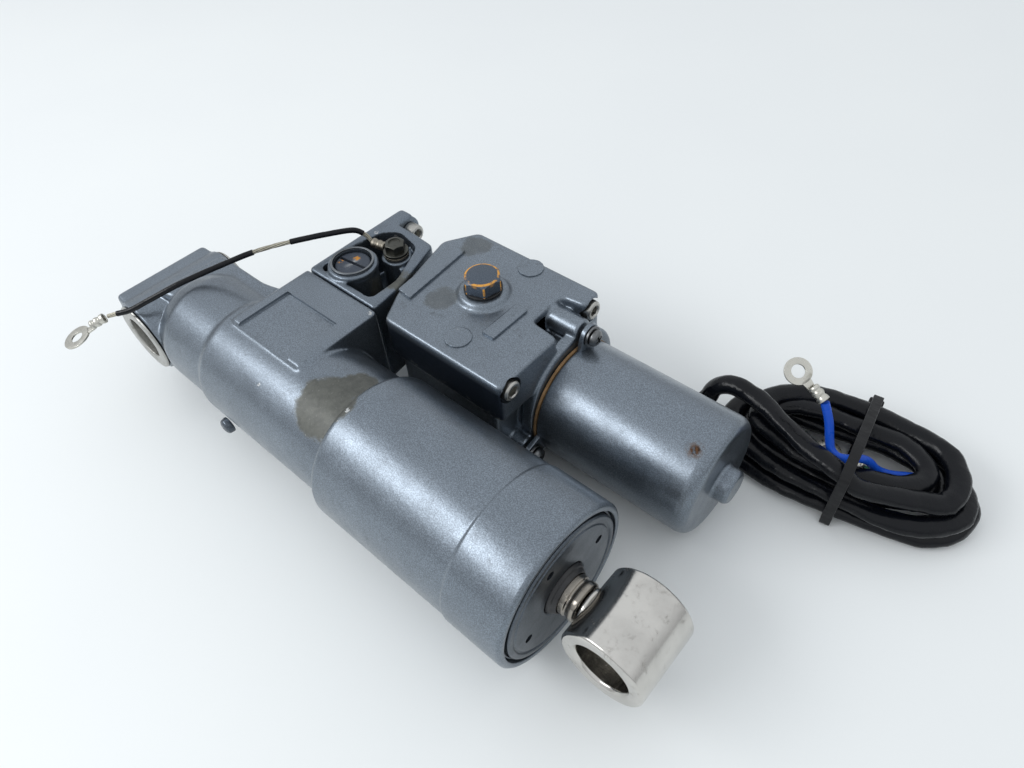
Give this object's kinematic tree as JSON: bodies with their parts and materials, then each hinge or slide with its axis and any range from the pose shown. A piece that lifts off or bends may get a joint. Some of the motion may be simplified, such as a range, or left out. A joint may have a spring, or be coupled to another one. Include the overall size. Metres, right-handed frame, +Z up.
{
  "type": "hydraulic trim and tilt unit",
  "caption": "Electro-hydraulic linear actuator: hydraulic cylinder with rod eye and mounting lug, side-mounted gear pump housing, electric motor, coiled motor cable and earth lead.",
  "frame": {"origin": "centre of the bounding box of the rigid unit on the plane it rests on, cables left out", "axes": "+X along the hydraulic cylinder from the mounting lug to the rod eye, +Y from the cylinder to the motor, +Z up from the surface the unit lies on"},
  "size_m": [0.4042, 0.2495, 0.0858],
  "materials": {
    "paint": "dark blue-grey metallic satin paint over die-cast aluminium, bare and oxidised near the neck",
    "paint_cap": "dark blue-grey satin paint",
    "paint_valve": "dark blue-grey satin paint, chipped and dirty in the pocket",
    "paint_valve_screw": "dark blue-grey satin paint",
    "paint_pump": "dark blue-grey metallic satin paint over die-cast aluminium",
    "paint_plug": "dark blue-grey satin paint, worn to orange primer on the edges",
    "paint_motor": "dark blue-grey metallic satin paint on a drawn steel can",
    "bush_steel": "worn bare steel",
    "polished_steel": "polished steel with fine scratches",
    "stainless": "stainless steel",
    "piston_steel": "machined steel",
    "gear_steel": "ground steel",
    "chrome_rod": "hard chrome plate",
    "dark_steel": "dark oily steel",
    "bronze": "dull bronze",
    "copper": "copper",
    "tinned_copper": "tinned copper, slightly tarnished",
    "ferrite": "dark sintered material",
    "gasket": "brown weathered gasket edge",
    "black_rubber": "black rubber",
    "wiper_rubber": "black rubber wiper",
    "cable_vinyl": "soft black vinyl",
    "tie_plastic": "black nylon",
    "blue_vinyl": "blue vinyl insulation",
    "green_vinyl": "green vinyl insulation"
  },
  "bodies": {
    "housing": {"cylinder_casting": "paint", "lug_bush_near": "bush_steel", "lug_bush_far": "bush_steel", "neck_plug": "black_rubber", "end_cap": "paint_cap", "cap_o_ring": "black_rubber", "cap_lock_ring": "black_rubber", "rod_wiper": "wiper_rubber", "valve_body": "paint_valve", "valve_circlip": "stainless", "earth_bolt": "dark_steel", "valve_screw_far": "stainless", "pump_housing": "paint_pump", "pump_screw_near": "stainless", "pump_screw_far": "stainless", "plug_seal": "black_rubber", "fill_plug": "paint_plug", "gear_block": "gear_steel", "motor_gasket": "gasket", "motor_can": "paint_motor", "screw_washer_1": "stainless", "screw_washer_2": "stainless", "screw_washer_3": "stainless", "motor_screw_1": "stainless", "motor_screw_2": "stainless", "motor_screw_3": "stainless", "magnet_1": "ferrite", "magnet_2": "ferrite", "brush_plate": "bronze", "brush_1": "ferrite", "brush_2": "ferrite", "cable_grommet": "black_rubber", "motor_cable": "cable_vinyl", "cable_hank": "cable_vinyl", "cable_tie": "tie_plastic", "blue_wire": "blue_vinyl", "green_wire": "green_vinyl", "blue_terminal": "tinned_copper", "green_terminal": "tinned_copper", "earth_lead": "cable_vinyl", "earth_lead_end": "tinned_copper", "earth_lug": "tinned_copper"},
    "rod_seal": {"piston_ring": "black_rubber"},
    "rod": {"piston_rod": "chrome_rod", "piston": "piston_steel", "rod_nut": "dark_steel", "rod_eye": "polished_steel"},
    "free_piston_body": {"free_piston": "bronze"},
    "valve_screw": {"release_valve_screw": "paint_valve_screw"},
    "armature": {"armature_shaft": "gear_steel", "armature_core": "copper", "commutator": "copper", "drive_coupling": "dark_steel", "drive_gear": "gear_steel"},
    "driven": {"driven_gear": "gear_steel"},
    "shuttle": {"shuttle_piston": "piston_steel"}
  },
  "joints": [
    {"name": "rod_slide", "type": "slide", "parent": "housing", "child": "rod_seal", "axis": [1, 0, 0], "range_m": [0, 0.14]},
    {"name": "rod_turn", "type": "hinge", "parent": "rod_seal", "child": "rod", "pos_m": [0.1213, -0.04249, 0.0382], "axis": [1, 0, 0], "continuous": true},
    {"name": "free_piston_slide", "type": "slide", "parent": "housing", "child": "free_piston_body", "axis": [1, 0, 0], "range_m": [0, 0.006]},
    {"name": "release_valve_turn", "type": "hinge", "parent": "housing", "child": "valve_screw", "pos_m": [-0.0627, 0.01501, 0.06], "axis": [0, 0, 1], "range_deg": [0, 720]},
    {"name": "motor_spin", "type": "hinge", "parent": "housing", "child": "armature", "pos_m": [0.1213, 0.04511, 0.0304], "axis": [1, 0, 0], "continuous": true},
    {"name": "driven_gear_spin", "type": "hinge", "parent": "housing", "child": "driven", "pos_m": [0.0263, 0.04511, 0.015], "axis": [1, 0, 0], "continuous": true},
    {"name": "shuttle_slide", "type": "slide", "parent": "housing", "child": "shuttle", "axis": [1, 0, 0], "range_m": [-0.004, 0.004]}
  ],
  "couplings": [
    {"joint": "driven_gear_spin", "follows": "motor_spin", "ratio": -1}
  ]
}
